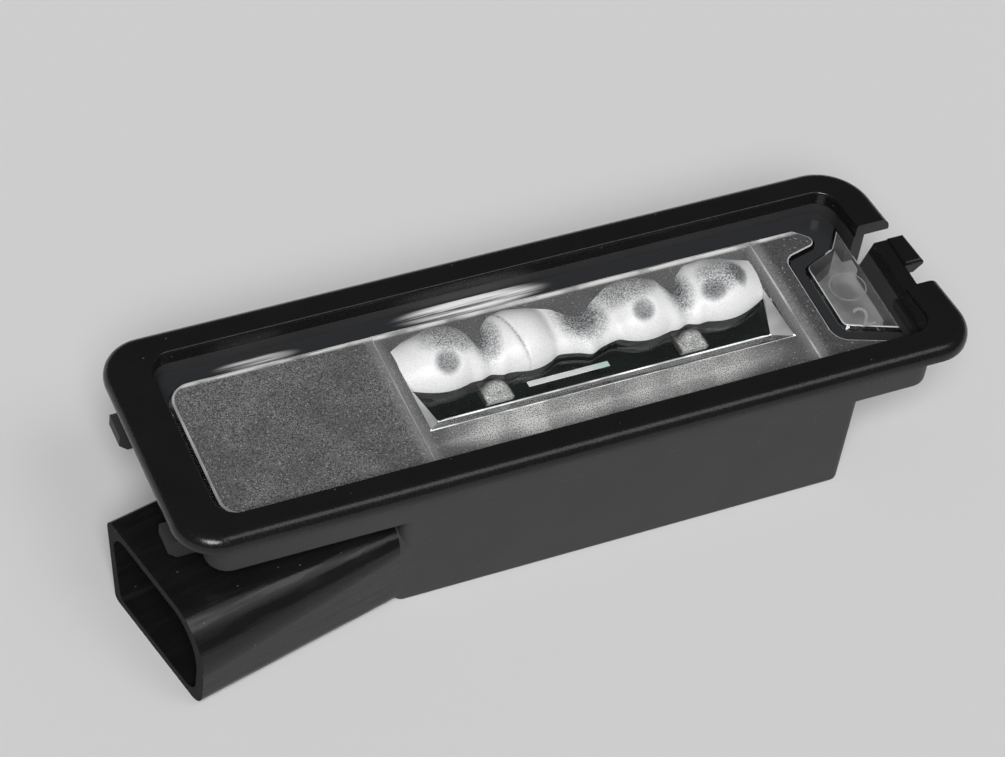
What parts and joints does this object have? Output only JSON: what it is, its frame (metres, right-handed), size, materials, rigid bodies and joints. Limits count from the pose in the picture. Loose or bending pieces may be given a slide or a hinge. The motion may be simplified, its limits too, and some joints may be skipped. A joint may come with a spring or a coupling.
{
  "type": "number plate lamp",
  "caption": "Clip-in LED number plate lamp: a black housing with a slim flange, a frosted clear lens with round lobes, an angled plug shroud, hooks at one end and a spring tongue at the other.",
  "frame": {"origin": "middle of the flange's underside, in the plane that seats on the body panel", "axes": "+X along the lamp from the hooks to the spring tongue, +Y away from the plug shroud's side, +Z out of the lens"},
  "size_m": [0.0993, 0.0355, 0.0213],
  "materials": {
    "housing": "satin black moulding",
    "lens": "clear, frosted on the plateau and the lobes",
    "board": "white solder mask",
    "contact": "tinned brass",
    "led": "phosphor under a clear dome",
    "capacitor": "fired ceramic",
    "chip": "moulded black"
  },
  "bodies": {
    "root": {"housing": "housing", "lens": "lens", "circuit_board": "board", "contact_plus": "contact", "contact_minus": "contact", "led_left": "led", "led_right": "led", "protection_diode": "chip", "surge_diode": "chip", "capacitor_1": "capacitor", "capacitor_2": "capacitor", "regulator": "chip", "resistor_1": "chip", "resistor_2": "chip", "resistor_3": "chip", "resistor_4": "chip"}
  },
  "joints": []
}
